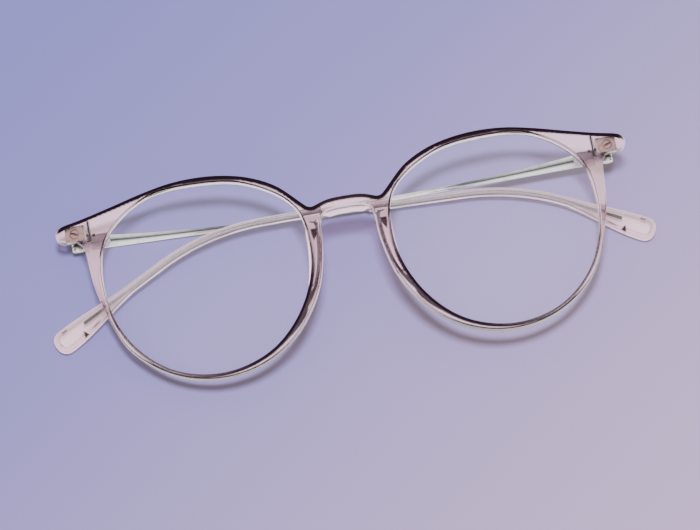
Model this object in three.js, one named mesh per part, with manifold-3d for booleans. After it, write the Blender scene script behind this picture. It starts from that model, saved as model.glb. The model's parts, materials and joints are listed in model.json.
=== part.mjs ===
// Full-rim eyeglasses, folded and lying on their back: a clear moulded front, metal temples with
// clear tip sleeves. Millimetres, +Z up, +X across the front, +Y towards the brow.
// Each half is built at the +X side in the front's own frame (Z points out of the front, the face
// of the bridge is z = 0); the -X half is its mirror image.
import * as THREE from "three";
import { mergeVertices } from "three/addons/utils/BufferGeometryUtils.js";
import Module from "manifold-3d";

const wasm = await Module();
wasm.setup();

// ---- driving dimensions ----------------------------------------------------------------------
const GAP = 0.1; // clearance between pieces that touch or are bonded
const WRAP_RADIUS = 450; // the front is bent back about a vertical axis to this radius
const RIM_DEPTH = 3.2; // front to back
const RIM_CHAMFER = 0.4;

const LENS_CENTRE = [35.2, -8.0];
// Radius of the lens opening every 30 degrees, from the temple side counter-clockwise.
const OPENING_RADII = [25.8, 27.8, 26.0, 23.6, 24.6, 26.6, 24.8, 23.7, 23.8, 24.0, 24.4, 24.8];
const LENS_LAP = 0.35; // how far the lens reaches into its groove
const GROOVE_DEPTH = 0.65;
const LENS_THICKNESS = 1.8;
const LENS_MID_DEPTH = 1.6; // middle of the lens edge, behind the front face
const LENS_BULGE = 1.1; // how far the middle of the lens stands forward of its edge
const LENS_CHAMFER = 0.3; // of the lens's edge, and the clearance of its groove

// Half of the front's outer edge, from the middle of the bridge's top round to its underside.
const HALF_OUTLINE = [
  [0, 6.1], [4.2, 5.9], [6.6, 5.2], [8.6, 4.5], [10.6, 6.3], [15.7, 11.4], [22.0, 14.8],
  [28.6, 16.6], [35.2, 17.3], [41.9, 17.1], [49.0, 15.9], [56.0, 14.3], [63.0, 12.8],
  [69.7, 11.5], [70.9, 10.8], [71.3, 9.3], [70.7, 8.0], [69.0, 7.6], [66.3, 7.2], [64.8, 5.6],
  [64.3, 3.4], [64.0, -0.4], [63.4, -5.2], [61.2, -13.4], [58.0, -21.0], [53.3, -26.3],
  [47.9, -30.1], [41.7, -32.5], [35.2, -33.3], [28.7, -32.5], [22.5, -30.1], [17.0, -26.2],
  [12.6, -21.0], [9.3, -14.8], [7.5, -8.0], [6.8, -2.6], [6.7, 0.6], [6.1, 2.2], [4.4, 3.0],
  [0, 3.3],
];
const OUTLINE_STEPS = 3; // chords per stretch of the outline
const OPENING_STEPS = 48;

// Half of the pads' outline: inner flank from the top down, the rounded foot, then the flank by the rim.
const PAD_TOP = 1.6;
const PAD_INNER = {
  top: 7.3,
  bend: [7.2, -3.5],
  middle: [8.2, -8.5],
  lower: [8.9, -12.0],
  foot: [10.4, -14.4],
};
const PAD_OUTER = { foot: [11.6, -13.6], bend: [9.9, -8.0], middle: [9.8, -3.0], top: 9.7 };
const PAD_DEPTH = 3.4;
const PAD_CHAMFER = 0.45;
const PAD_LEAN = 0.3; // sideways per millimetre towards the back

const END_BOSS = { x: [62.8, 70.6], y: [8.0, 12.0], depth: 0.6 }; // thicker end piece round the hinge

const HINGE_X = 66.4;
const HINGE_STANDOFF = 1.8; // from the end piece's back to the hinge axis
const KNUCKLE_RADIUS = 1.5;
const BORE_RADIUS = 0.8;
const SCREW_RADIUS = 0.72;
const SCREW_HEAD = { radius: 1.15, height: 0.7, slotWidth: 0.35, slotDepth: 0.35 };
const WASHER_THICKNESS = 0.3;
const LOWER_KNUCKLE = [6.1, 7.0];
const MIDDLE_KNUCKLE = [7.5, 9.7];
const UPPER_KNUCKLE = [10.2, 11.1];
const HINGE_FACETS = 20;
const OVERCUT = 2; // a cut runs at least this far past the face that it opens
const ANCHOR = { x: [64.0, 68.7], y: [7.5, 11.2], depth: [1.4, 2.2] }; // plate moulded into the end piece
const WEB = { x: [63.6, 64.6], y: [6.1, 11.1] }; // carries the knuckles, inboard of them
const ARM = { behind: 0.5, before: 1.0 }; // reach of the knuckles' arms either side of the hinge axis
const TONGUE = { length: 8, from: 0.9, to: 1.45 }; // strip behind the hinge axis, fixed to the bar

const BAR_SETBACK = 2.05; // from the hinge axis to the middle of the bar
const BAR_THICKNESS = 1.0;
const BAR_END = 1.1; // the bar's butt reaches this far past the hinge axis
const BLADE_LENGTH = 42; // stretch in which the flat blade tapers to wire
const BLADE_FULL = 5; // stretch at full height, by the hinge
const BLADE_HEIGHT = 3.4;
const WIRE_SIZE = 1.1;
const WIRE_Y = 7.25; // height of the wire's axis at the hinge
const BLADE_BOTTOM = WIRE_Y - WIRE_SIZE / 2;
const BLADE_CURVE = { at: 18, above: 1.2 }; // control point of the taper's upper edge, above the wire
const BAR_BEVEL = 0.2;
const CORE_RADIUS = 0.42; // wire inside the sleeve
const CORE_BORE = 0.56;
const CORE_ROOT = 3; // stretch of the core that is sunk into the bar
const SLEEVE_START = 72; // distance from the hinge axis
const SLEEVE_THICKNESS = 2.2;
const SLEEVE_BEVEL = 0.6;
const CORE_END_BEFORE_TIP = 9;
const PADDLE = { length: 22, above: 0.9, below: 2.7, end: 3 }; // flare at the tip, and its rounded end
const SLEEVE_HALF = { start: 1.0, end: 1.2 }; // half height along the wire
const TEMPLE_STEPS = 30;
const CORE_STEPS = 24;

// Each temple, as it was adjusted: toe-in angle of the fold, droop of its straight stretch, and
// the ear bend's distance from the hinge, its turn, and the length of the tip after it.
const TEMPLES = {
  left: { side: 1, foldAngle: 1.5, droop: 1.05, bendAt: 101, bendTurn: 27.5, tipLength: 46.5 },
  right: { side: -1, foldAngle: -0.55, droop: 1.4, bendAt: 110, bendTurn: 26, tipLength: 36 },
};
const BEND_REACH = 14; // half of the stretch over which the ear bend turns

// The temples carry the folded frame, so the front leans a little against the floor.
const REST_LEAN = { x: 6.39, y: -1.75 };

// ---- materials -------------------------------------------------------------------------------
const crystal = () => new THREE.MeshStandardMaterial({ color: 0xdccfda, roughness: 0.08, metalness: 0 });
const lensPlastic = () => new THREE.MeshStandardMaterial({ color: 0xf2f4f6, roughness: 0.04, metalness: 0 });
const silverMetal = () => new THREE.MeshStandardMaterial({ color: 0xd4d8d6, roughness: 0.25, metalness: 1 });
const hingeMetal = () => new THREE.MeshStandardMaterial({ color: 0xa8a098, roughness: 0.35, metalness: 1 });
const nylon = () => new THREE.MeshStandardMaterial({ color: 0x3a3838, roughness: 0.5, metalness: 0 });

// ---- solids ----------------------------------------------------------------------------------
const radians = THREE.MathUtils.degToRad;

function solid(geometry) {
  const bare = geometry.clone();
  bare.deleteAttribute("normal");
  bare.deleteAttribute("uv");
  const merged = mergeVertices(bare, 1e-4);
  return new wasm.Manifold(
    new wasm.Mesh({
      numProp: 3,
      vertProperties: new Float32Array(merged.attributes.position.array),
      triVerts: new Uint32Array(merged.index.array),
    }),
  );
}

function geometryOf(manifold) {
  const mesh = manifold.getMesh();
  const geometry = new THREE.BufferGeometry();
  geometry.setAttribute("position", new THREE.BufferAttribute(new Float32Array(mesh.vertProperties), 3));
  geometry.setIndex(new THREE.BufferAttribute(new Uint32Array(mesh.triVerts), 1));
  geometry.computeVertexNormals();
  return geometry;
}

function named(name, geometry, material) {
  const mesh = new THREE.Mesh(geometry, material);
  mesh.name = name;
  return mesh;
}

const wrapDepth = (x) => (x * x) / (2 * WRAP_RADIUS);

// Bends a flat geometry back with the front.
function bent(geometry) {
  const position = geometry.getAttribute("position");
  for (let i = 0; i < position.count; i += 1) {
    position.setZ(i, position.getZ(i) - wrapDepth(position.getX(i)));
  }
  return geometry;
}

function box([x0, x1], [y0, y1], [z0, z1]) {
  const geometry = new THREE.BoxGeometry(x1 - x0, y1 - y0, z1 - z0);
  return geometry.translate((x0 + x1) / 2, (y0 + y1) / 2, (z0 + z1) / 2);
}

// A cylinder along Y round the line through (x, z).
function post(radius, [y0, y1], x, z) {
  const geometry = new THREE.CylinderGeometry(radius, radius, y1 - y0, HINGE_FACETS);
  return geometry.translate(x, (y0 + y1) / 2, z);
}

// A slab with the given outline from depth `front` to depth `back` behind z = 0, edges chamfered.
function slab(shape, front, back, chamfer) {
  const geometry = new THREE.ExtrudeGeometry(shape, {
    depth: back - front - 2 * chamfer,
    bevelEnabled: chamfer > 0,
    bevelThickness: chamfer,
    bevelSize: chamfer,
    bevelOffset: -chamfer,
    bevelSegments: 1,
    curveSegments: 4,
  });
  return geometry.translate(0, 0, chamfer - back);
}

// ---- front -----------------------------------------------------------------------------------
const openingCurve = new THREE.CatmullRomCurve3(
  OPENING_RADII.map((radius, i) => {
    const angle = (i / OPENING_RADII.length) * 2 * Math.PI;
    return new THREE.Vector3(radius * Math.cos(angle), radius * Math.sin(angle), 0);
  }),
  true,
);

// The lens opening's outline, offset outwards, for the lens on side +1 or -1.
function openingPoints(offset, side, steps = OPENING_STEPS) {
  return openingCurve.getPoints(steps).slice(0, steps).map((point) => {
    const grown = point.clone().setLength(point.length() + offset);
    return new THREE.Vector2(side * (LENS_CENTRE[0] + grown.x), LENS_CENTRE[1] + grown.y);
  });
}

function frontOutline() {
  const right = HALF_OUTLINE.map(([x, y]) => new THREE.Vector3(x, y, 0));
  const left = HALF_OUTLINE.slice(1, -1).reverse().map(([x, y]) => new THREE.Vector3(-x, y, 0));
  const loop = new THREE.CatmullRomCurve3([...right, ...left].reverse(), true, "centripetal");
  const count = (right.length + left.length) * OUTLINE_STEPS;
  return loop.getPoints(count).slice(0, count).map((point) => new THREE.Vector2(point.x, point.y));
}

function frontBlank() {
  const shape = new THREE.Shape(frontOutline());
  for (const side of [1, -1]) shape.holes.push(new THREE.Path(openingPoints(0, side)));
  return solid(bent(slab(shape, 0, RIM_DEPTH, RIM_CHAMFER)));
}

function lensGroove(side) {
  const shape = new THREE.Shape(openingPoints(GROOVE_DEPTH, side));
  const half = LENS_THICKNESS / 2 + LENS_CHAMFER;
  return solid(bent(slab(shape, LENS_MID_DEPTH - half, LENS_MID_DEPTH + half, LENS_CHAMFER)));
}

const sided = ([a, b], side) => (side > 0 ? [a, b] : [-b, -a]);

// Thicker back of one end piece.
function endBoss(side) {
  const { x, y, depth } = END_BOSS;
  return solid(bent(box(sided(x, side), y, [-RIM_DEPTH - depth, -RIM_DEPTH / 2])));
}

// Room for the hinge's anchor plate inside the end piece, and the slot its web leaves by.
function hingePocket(side) {
  const { x, y, depth } = ANCHOR;
  const plate = box(
    sided([x[0] - GAP, x[1] + GAP], side),
    [y[0] - GAP, y[1] + GAP],
    [-depth[1] - GAP, -depth[0] + GAP],
  );
  const slotX = sided([WEB.x[0] - GAP, WEB.x[1] + GAP], side);
  const back = -RIM_DEPTH - END_BOSS.depth - OVERCUT;
  const slot = box(slotX, [y[0] - OVERCUT, WEB.y[1] + GAP], [back, -depth[0] + GAP]);
  return solid(bent(plate)).add(solid(bent(slot)));
}

function frontFrame() {
  let body = frontBlank();
  for (const side of [1, -1]) {
    body = body.add(endBoss(side));
    body = body.subtract(lensGroove(side)).subtract(hingePocket(side));
  }
  return named("front_frame", geometryOf(body), crystal());
}

// A disc turned on the lens centre, then drawn out to the opening's outline and bulged forward.
function lens(name, side) {
  const rings = [1, 0.75, 0.5, 0.25];
  const half = LENS_THICKNESS / 2;
  const profile = [
    new THREE.Vector2(0, -half),
    ...rings.toReversed().map((r) => new THREE.Vector2(r, r === 1 ? LENS_CHAMFER - half : -half)),
    ...rings.map((r) => new THREE.Vector2(r, r === 1 ? half - LENS_CHAMFER : half)),
    new THREE.Vector2(0, half),
  ];
  const geometry = new THREE.LatheGeometry(profile, OPENING_STEPS).rotateX(Math.PI / 2);
  const position = geometry.getAttribute("position");
  for (let i = 0; i < position.count; i += 1) {
    const share = Math.hypot(position.getX(i), position.getY(i));
    const angle = Math.atan2(position.getY(i), position.getX(i));
    const edge = openingCurve.getPoint((angle / (2 * Math.PI) + 1) % 1);
    const reach = share * (edge.length() + LENS_LAP);
    const direction = share > 0 ? edge.setZ(0).normalize() : new THREE.Vector3();
    const z = position.getZ(i) - LENS_MID_DEPTH + LENS_BULGE * (1 - share * share);
    position.setXYZ(i, LENS_CENTRE[0] + reach * direction.x, LENS_CENTRE[1] + reach * direction.y, z);
  }
  const mesh = named(name, geometryOf(solid(bent(geometry))), lensPlastic());
  mesh.scale.x = side;
  return mesh;
}

// A bonded pad behind the nasal side of the rim. It leans outwards towards its back, so that its
// inner flank lies along the nose.
function nosePad(name, side) {
  const shape = new THREE.Shape();
  shape.moveTo(PAD_INNER.top, PAD_TOP);
  shape.quadraticCurveTo(...PAD_INNER.bend, ...PAD_INNER.middle);
  shape.quadraticCurveTo(...PAD_INNER.lower, ...PAD_INNER.foot);
  shape.lineTo(...PAD_OUTER.foot);
  shape.quadraticCurveTo(...PAD_OUTER.bend, ...PAD_OUTER.middle);
  shape.lineTo(PAD_OUTER.top, PAD_TOP);
  const pad = slab(shape, RIM_DEPTH + GAP, RIM_DEPTH + GAP + PAD_DEPTH, PAD_CHAMFER);
  const position = pad.getAttribute("position");
  for (let i = 0; i < position.count; i += 1) {
    const behindRim = -position.getZ(i) - RIM_DEPTH;
    position.setX(i, position.getX(i) + behindRim * PAD_LEAN);
  }
  const mesh = named(name, geometryOf(solid(bent(pad))), crystal());
  mesh.scale.x = side;
  return mesh;
}

// ---- hinge, built at the +X side ---------------------------------------------------------------
const HINGE_Z = -wrapDepth(HINGE_X) - RIM_DEPTH - END_BOSS.depth - HINGE_STANDOFF;

const knuckle = (span) => solid(post(KNUCKLE_RADIUS, span, HINGE_X, HINGE_Z));
const boreSpan = [LOWER_KNUCKLE[0] - OVERCUT, UPPER_KNUCKLE[1] + OVERCUT];
const bore = () => solid(post(BORE_RADIUS, boreSpan, HINGE_X, HINGE_Z));

function frontHinge() {
  const { x, y, depth } = ANCHOR;
  let body = solid(bent(box(x, y, [-depth[1], -depth[0]])));
  const webBack = HINGE_Z + wrapDepth(WEB.x[0]) - ARM.behind;
  const armDepth = [HINGE_Z - ARM.behind, HINGE_Z + ARM.before];
  body = body.add(solid(bent(box(WEB.x, [y[0], WEB.y[1]], [webBack, -depth[0]]))));
  body = body.add(solid(box(WEB.x, WEB.y, armDepth)));
  for (const span of [LOWER_KNUCKLE, UPPER_KNUCKLE]) {
    body = body.add(solid(box([WEB.x[0], HINGE_X], span, armDepth)));
    body = body.add(knuckle(span));
  }
  return geometryOf(body.subtract(bore()));
}

function hingeScrew() {
  const top = UPPER_KNUCKLE[1] + GAP;
  const head = post(SCREW_HEAD.radius, [top, top + SCREW_HEAD.height], HINGE_X, HINGE_Z);
  const shank = post(SCREW_RADIUS, [LOWER_KNUCKLE[0], top + SCREW_HEAD.height / 4], HINGE_X, HINGE_Z);
  const slot = box(
    [HINGE_X - OVERCUT, HINGE_X + OVERCUT],
    [top + SCREW_HEAD.height - SCREW_HEAD.slotDepth, top + OVERCUT],
    [HINGE_Z - SCREW_HEAD.slotWidth / 2, HINGE_Z + SCREW_HEAD.slotWidth / 2],
  );
  return geometryOf(solid(head).add(solid(shank)).subtract(solid(slot)));
}

function washer([low, high]) {
  const middle = (low + high) / 2;
  const span = [middle - WASHER_THICKNESS / 2, middle + WASHER_THICKNESS / 2];
  const disc = solid(post(KNUCKLE_RADIUS - GAP, span, HINGE_X, HINGE_Z));
  return geometryOf(disc.subtract(bore()));
}

// The temple's half of the hinge: its knuckle, and a tongue laid along the bar.
function templeHinge() {
  const depth = [HINGE_Z - TONGUE.to, HINGE_Z - TONGUE.from];
  const tongue = box([HINGE_X - TONGUE.length, HINGE_X], MIDDLE_KNUCKLE, depth);
  return geometryOf(knuckle(MIDDLE_KNUCKLE).add(solid(tongue)).subtract(bore()));
}

// ---- temple, drawn folded: it runs from the hinge towards -X -----------------------------------
// The wire's axis: straight, then round the ear bend, then straight to the tip.
function wireAxis({ droop, bendAt, bendTurn, tipLength }) {
  const before = radians(droop);
  const after = radians(droop + bendTurn);
  const along = (angle, length) => new THREE.Vector3(-Math.cos(angle) * length, -Math.sin(angle) * length, 0);
  const hinge = new THREE.Vector3(HINGE_X, WIRE_Y, 0);
  const corner = hinge.clone().add(along(before, bendAt));
  const bendStart = corner.clone().sub(along(before, BEND_REACH));
  const bendEnd = corner.clone().add(along(after, BEND_REACH));
  const path = new THREE.CurvePath();
  path.add(new THREE.LineCurve3(hinge, bendStart));
  path.add(new THREE.QuadraticBezierCurve3(bendStart, corner, bendEnd));
  path.add(new THREE.LineCurve3(bendEnd, corner.clone().add(along(after, tipLength))));
  return path;
}

// The stretch of a temple's axis from distance `from` to distance `to`, as points and directions.
function stations(axis, from, to, count) {
  const length = axis.getLength();
  return Array.from({ length: count + 1 }, (_, i) => {
    const distance = from + ((to - from) * i) / count;
    const share = distance / length;
    return { distance, point: axis.getPointAt(share), tangent: axis.getTangentAt(share) };
  });
}

// Half heights of the sleeve above and below the axis: slim along the wire, then flaring
// downwards into the flat paddle behind the ear.
function sleeveHalfHeights(distance, length) {
  const { smoothstep, lerp } = THREE.MathUtils;
  const flare = smoothstep(distance, length - PADDLE.length - PADDLE.end, length - PADDLE.end);
  const slim = lerp(SLEEVE_HALF.start, SLEEVE_HALF.end, smoothstep(distance, SLEEVE_START, length));
  return { above: slim + PADDLE.above * flare, below: slim + PADDLE.below * flare };
}

function tube(points, radius) {
  const circle = new THREE.Shape().absarc(0, 0, radius, 0, 2 * Math.PI);
  return new THREE.ExtrudeGeometry(circle, {
    steps: points.length - 1,
    extrudePath: new THREE.CatmullRomCurve3(points),
    curveSegments: 4,
    bevelEnabled: false,
  });
}

const BAR_Z = HINGE_Z - BAR_SETBACK;

// The core's tube, or its bore, from inside the bar to `spare` past the core's end.
function coreTube(axis, radius, spare) {
  const end = axis.getLength() - CORE_END_BEFORE_TIP + spare;
  const route = stations(axis, SLEEVE_START - CORE_ROOT, end, CORE_STEPS);
  return solid(tube(route.map(({ point }) => point), radius).translate(0, 0, BAR_Z));
}

function templeBar(temple) {
  const axis = wireAxis(temple);
  const slope = Math.tan(radians(temple.droop));
  const lower = (distance) => BLADE_BOTTOM - slope * distance;
  const shape = new THREE.Shape();
  const bladeTop = BLADE_BOTTOM + BLADE_HEIGHT;
  const wireTop = lower(BLADE_LENGTH) + WIRE_SIZE;
  shape.moveTo(HINGE_X + BAR_END, lower(-BAR_END));
  shape.lineTo(HINGE_X + BAR_END, bladeTop);
  shape.lineTo(HINGE_X - BLADE_FULL, bladeTop);
  const curveX = HINGE_X - BLADE_CURVE.at;
  shape.quadraticCurveTo(curveX, wireTop + BLADE_CURVE.above, HINGE_X - BLADE_LENGTH, wireTop);
  shape.lineTo(HINGE_X - SLEEVE_START, lower(SLEEVE_START) + WIRE_SIZE);
  shape.lineTo(HINGE_X - SLEEVE_START, lower(SLEEVE_START));
  shape.closePath();
  const blade = new THREE.ExtrudeGeometry(shape, {
    depth: BAR_THICKNESS - 2 * BAR_BEVEL,
    bevelThickness: BAR_BEVEL,
    bevelSize: BAR_BEVEL,
    bevelOffset: -BAR_BEVEL,
    bevelSegments: 1,
    curveSegments: 6,
  }).translate(0, 0, BAR_Z - BAR_THICKNESS / 2 + BAR_BEVEL);
  return geometryOf(solid(blade).add(coreTube(axis, CORE_RADIUS, 0)));
}

// Outline of the sleeve seen from its flat side: its two edges and the rounded end of the paddle.
function sleeveOutline(axis) {
  const length = axis.getLength();
  const upper = [];
  const lower = [];
  const edgePoint = ({ point, tangent }, height) =>
    new THREE.Vector2(point.x + height * tangent.y, point.y - height * tangent.x);
  for (const station of stations(axis, SLEEVE_START + GAP, length - PADDLE.end, TEMPLE_STEPS)) {
    const { above, below } = sleeveHalfHeights(station.distance, length);
    upper.push(edgePoint(station, above));
    lower.push(edgePoint(station, -below));
  }
  const [tip] = stations(axis, length, length, 1);
  const { above, below } = sleeveHalfHeights(length, length);
  const middle = edgePoint(tip, (above - below) / 2);
  const round = (from, corner, to) => new THREE.QuadraticBezierCurve(from, corner, to).getPoints(4);
  const upperRound = round(upper.at(-1), edgePoint(tip, above), middle);
  const lowerRound = round(middle, edgePoint(tip, -below), lower.at(-1));
  return [...upper, ...upperRound.slice(1), ...lowerRound.slice(1, -1), ...lower.reverse()];
}

function tipSleeve(temple) {
  const axis = wireAxis(temple);
  const body = new THREE.ExtrudeGeometry(new THREE.Shape(sleeveOutline(axis)), {
    depth: SLEEVE_THICKNESS - 2 * SLEEVE_BEVEL,
    bevelThickness: SLEEVE_BEVEL,
    bevelSize: SLEEVE_BEVEL,
    bevelOffset: -SLEEVE_BEVEL,
    bevelSegments: 2,
  }).translate(0, 0, SLEEVE_BEVEL - SLEEVE_THICKNESS / 2);
  return geometryOf(solid(body.translate(0, 0, BAR_Z)).subtract(coreTube(axis, CORE_BORE, GAP)));
}

// ---- assembly ----------------------------------------------------------------------------------
// One side's pieces; the temple turns about the hinge axis.
function sideAssembly(name, temple) {
  const side = new THREE.Group();
  side.scale.x = temple.side;
  side.add(named(`${name}_front_hinge`, frontHinge(), hingeMetal()));
  side.add(named(`${name}_hinge_screw`, hingeScrew(), silverMetal()));
  side.add(named(`${name}_lower_washer`, washer([LOWER_KNUCKLE[1], MIDDLE_KNUCKLE[0]]), nylon()));
  side.add(named(`${name}_upper_washer`, washer([MIDDLE_KNUCKLE[1], UPPER_KNUCKLE[0]]), nylon()));
  const folded = new THREE.Group();
  folded.position.set(HINGE_X, 0, HINGE_Z);
  folded.rotation.y = radians(temple.foldAngle);
  for (const mesh of [
    named(`${name}_temple_hinge`, templeHinge(), hingeMetal()),
    named(`${name}_temple_bar`, templeBar(temple), silverMetal()),
    named(`${name}_tip_sleeve`, tipSleeve(temple), crystal()),
  ]) {
    mesh.position.set(-HINGE_X, 0, -HINGE_Z);
    folded.add(mesh);
  }
  side.add(folded);
  return side;
}

const glasses = new THREE.Group();
glasses.add(frontFrame());
for (const [name, temple] of Object.entries(TEMPLES)) {
  glasses.add(lens(`${name}_lens`, temple.side));
  glasses.add(nosePad(`${name}_nose_pad`, temple.side));
  glasses.add(sideAssembly(name, temple));
}
glasses.rotation.set(radians(REST_LEAN.x), radians(REST_LEAN.y), 0);

// The origin is the middle of the bottom of the folded glasses' box.
const extent = new THREE.Box3().setFromObject(glasses, true);
const middle = extent.getCenter(new THREE.Vector3());
glasses.position.set(-middle.x, -middle.y, -extent.min.z);

const standing = new THREE.Group();
standing.add(glasses);
export default standing;
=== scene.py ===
"""The looks of a folded pair of clear eyeglasses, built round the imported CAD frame.

Shapes are worked out in millimetres in the front's own frame: x across the front, y towards the brow,
z out of the front, with the bridge's face at z = 0. The FRONT matrix takes them to the row frame in metres.
Each half is drawn at the +x side, and the -x half is its mirror image.
The dark bands of the plastic are painted as `shade` where the photo shows them, for the photo's camera.
"""

import json
import math

import bmesh
import bpy
import numpy as np
from mathutils import Matrix, Vector
from mathutils.geometry import delaunay_2d_cdt


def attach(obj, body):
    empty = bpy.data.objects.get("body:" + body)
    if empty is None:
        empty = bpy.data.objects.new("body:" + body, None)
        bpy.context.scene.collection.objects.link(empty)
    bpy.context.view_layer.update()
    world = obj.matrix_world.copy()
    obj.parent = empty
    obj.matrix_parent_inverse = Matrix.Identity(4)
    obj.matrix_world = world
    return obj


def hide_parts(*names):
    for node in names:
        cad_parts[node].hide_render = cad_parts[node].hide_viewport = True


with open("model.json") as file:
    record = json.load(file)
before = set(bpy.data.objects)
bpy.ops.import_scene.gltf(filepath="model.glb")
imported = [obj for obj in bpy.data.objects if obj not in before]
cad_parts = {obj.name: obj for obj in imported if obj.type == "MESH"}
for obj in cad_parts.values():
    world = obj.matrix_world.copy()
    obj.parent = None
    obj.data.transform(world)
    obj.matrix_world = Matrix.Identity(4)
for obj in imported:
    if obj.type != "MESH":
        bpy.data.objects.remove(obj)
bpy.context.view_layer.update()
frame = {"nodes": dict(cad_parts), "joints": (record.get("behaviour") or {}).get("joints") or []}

# ---- driving dimensions, in millimetres --------------------------------------------------------
MM = 0.001
WRAP_RADIUS = 450
RIM_DEPTH = 3.2
LENS_CENTRE = (35.2, -8.0)
OPENING_RADII = (25.8, 27.8, 26.0, 23.6, 24.6, 26.6, 24.8, 23.7, 23.8, 24.0, 24.4, 24.8)
HALF_OUTLINE = (
    (0, 6.1), (4.2, 5.9), (6.6, 5.2), (8.6, 4.5), (10.6, 6.3), (15.7, 11.4), (22.0, 14.8),
    (28.6, 16.6), (35.2, 17.3), (41.9, 17.1), (49.0, 15.9), (56.0, 14.3), (63.0, 12.8),
    (69.7, 11.5), (70.9, 10.8), (71.3, 9.3), (70.7, 8.0), (69.0, 7.6), (66.3, 7.2), (64.8, 5.6),
    (64.3, 3.4), (64.0, -0.4), (63.4, -5.2), (61.2, -13.4), (58.0, -21.0), (53.3, -26.3),
    (47.9, -30.1), (41.7, -32.5), (35.2, -33.3), (28.7, -32.5), (22.5, -30.1), (17.0, -26.2),
    (12.6, -21.0), (9.3, -14.8), (7.5, -8.0), (6.8, -2.6), (6.7, 0.6), (6.1, 2.2), (4.4, 3.0),
    (0, 3.3),
)
BOSS_DEPTH = 0.6
BOSS_X = 62.8  # the end piece is thicker from here outwards
BOSS_Y = 7.2

HINGE_X = 66.4
HINGE_Y = 8.6
HINGE_STANDOFF = 1.8

BAR_SETBACK = 2.05
BAR_THICKNESS = 1.0
BAR_END = 1.1
BLADE_LENGTH = 42
BLADE_FULL = 5
BLADE_HEIGHT = 3.4
BLADE_CURVE = (18, 1.2)  # control point of the taper's upper edge: along the bar, above the wire
WIRE_SIZE = 1.1
WIRE_Y = 7.25
CORE_RADIUS = 0.42
CORE_END_BEFORE_TIP = 9
SLEEVE_START = 72.1
SLEEVE_THICKNESS = 2.2
SLEEVE_HALF = (1.0, 1.2)
PADDLE_LENGTH = 22
PADDLE_END = 3
PADDLE_FLARE = (0.9, 2.7)  # above and below the axis
BEND_REACH = 14
# Toe-in of the fold, droop, distance of the ear bend, its turn, and the length of the tip after it.
TEMPLES = {"left": (1.5, 1.05, 101, 27.5, 46.5), "right": (-0.55, 1.4, 110, 26, 36)}

LENS_LAP = 0.35
LENS_MID_DEPTH = 1.6
LENS_THICKNESS = 1.8
LENS_BULGE = 1.1
LENS_RINGS = 14
LENS_BEVEL = (0.72, 0.12)  # height of its shoulder as a share of half the lens, and half its crest in mm
PAD_DEPTH = 3.4
PAD_GAP = 0.1
PAD_LEAN = 0.3

sides = {"left": 1, "right": -1}  # the wearer's left is +x
joints = {joint["child"].removeprefix("temple_"): joint for joint in frame["joints"]}


def wrap_depth(x):
    return x * x / (2 * WRAP_RADIUS)


HINGE_Z = -wrap_depth(HINGE_X) - RIM_DEPTH - BOSS_DEPTH - HINGE_STANDOFF
BAR_Z = HINGE_Z - BAR_SETBACK


# ---- placing ------------------------------------------------------------------------------------
def front_matrix():
    """The front's own frame, read off the two hinge axes."""
    left = Vector(joints["left"]["pos_m"])
    right = Vector(joints["right"]["pos_m"])
    across = (left - right).normalized()
    up = Vector(joints["right"]["axis"]).normalized()
    out = across.cross(up)
    origin = (left + right) / 2 - (up * HINGE_Y + out * HINGE_Z) * MM
    turn = Matrix((across, up, out)).transposed().to_4x4()
    return Matrix.Translation(origin) @ turn @ Matrix.Scale(MM, 4)


FRONT = front_matrix()


def half_matrix(side):
    """Takes the +x half's drawing to its own side of the front."""
    return FRONT @ Matrix.Diagonal((sides[side], 1, 1, 1))


def temple_matrix(side):
    """The same for a temple, which is drawn folded square across the front."""
    pivot = Matrix.Translation((HINGE_X, 0, HINGE_Z))
    turn = Matrix.Rotation(math.radians(TEMPLES[side][0]), 4, "Y")
    return half_matrix(side) @ pivot @ turn @ pivot.inverted()


# ---- outlines -----------------------------------------------------------------------------------
def closed_curve(points, steps):
    """A closed centripetal Catmull-Rom curve through the points, `steps` points to a stretch."""
    points = np.array(points, float)
    count = len(points)
    result = []
    for i in range(count):
        p0, p1, p2, p3 = (points[(i + k) % count] for k in (-1, 0, 1, 2))
        d0, d1, d2 = (math.sqrt(np.linalg.norm(b - a)) for a, b in ((p0, p1), (p1, p2), (p2, p3)))
        start = ((p1 - p0) / d0 - (p2 - p0) / (d0 + d1) + (p2 - p1) / d1) * d1
        end = ((p2 - p1) / d1 - (p3 - p1) / (d1 + d2) + (p3 - p2) / d2) * d1
        for t in np.arange(steps) / steps:
            square = -3 * p1 + 3 * p2 - 2 * start - end
            cube = 2 * p1 - 2 * p2 + start + end
            result.append(p1 + start * t + square * t**2 + cube * t**3)
    return np.array(result)


def resampled(loop, spacing):
    """The closed loop with evenly spaced points, as its points have equal lengths between them."""
    closed = np.vstack([loop, loop[:1]])
    lengths = np.concatenate([[0], np.cumsum(np.linalg.norm(np.diff(closed, axis=0), axis=1))])
    count = int(round(lengths[-1] / spacing))
    marks = np.arange(count) * lengths[-1] / count
    return np.stack([np.interp(marks, lengths, closed[:, k]) for k in (0, 1)], axis=1)


def eased(loop, passes):
    """The loop with the small steps in its curvature smoothed out."""
    for _ in range(passes):
        loop = 0.5 * loop + 0.25 * (np.roll(loop, 1, axis=0) + np.roll(loop, -1, axis=0))
    return loop


def into_material(loop, hole):
    """Unit normals of the counter-clockwise loop that point into the material."""
    tangent = np.roll(loop, -1, axis=0) - np.roll(loop, 1, axis=0)
    tangent /= np.linalg.norm(tangent, axis=1)[:, None]
    normal = np.stack([-tangent[:, 1], tangent[:, 0]], axis=1)
    return -normal if hole else normal


def smoothstep(value, low, high):
    t = np.clip((np.asarray(value, float) - low) / (high - low), 0, 1)
    return t * t * (3 - 2 * t)


OUTLINE_SPACING = 0.55


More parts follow.
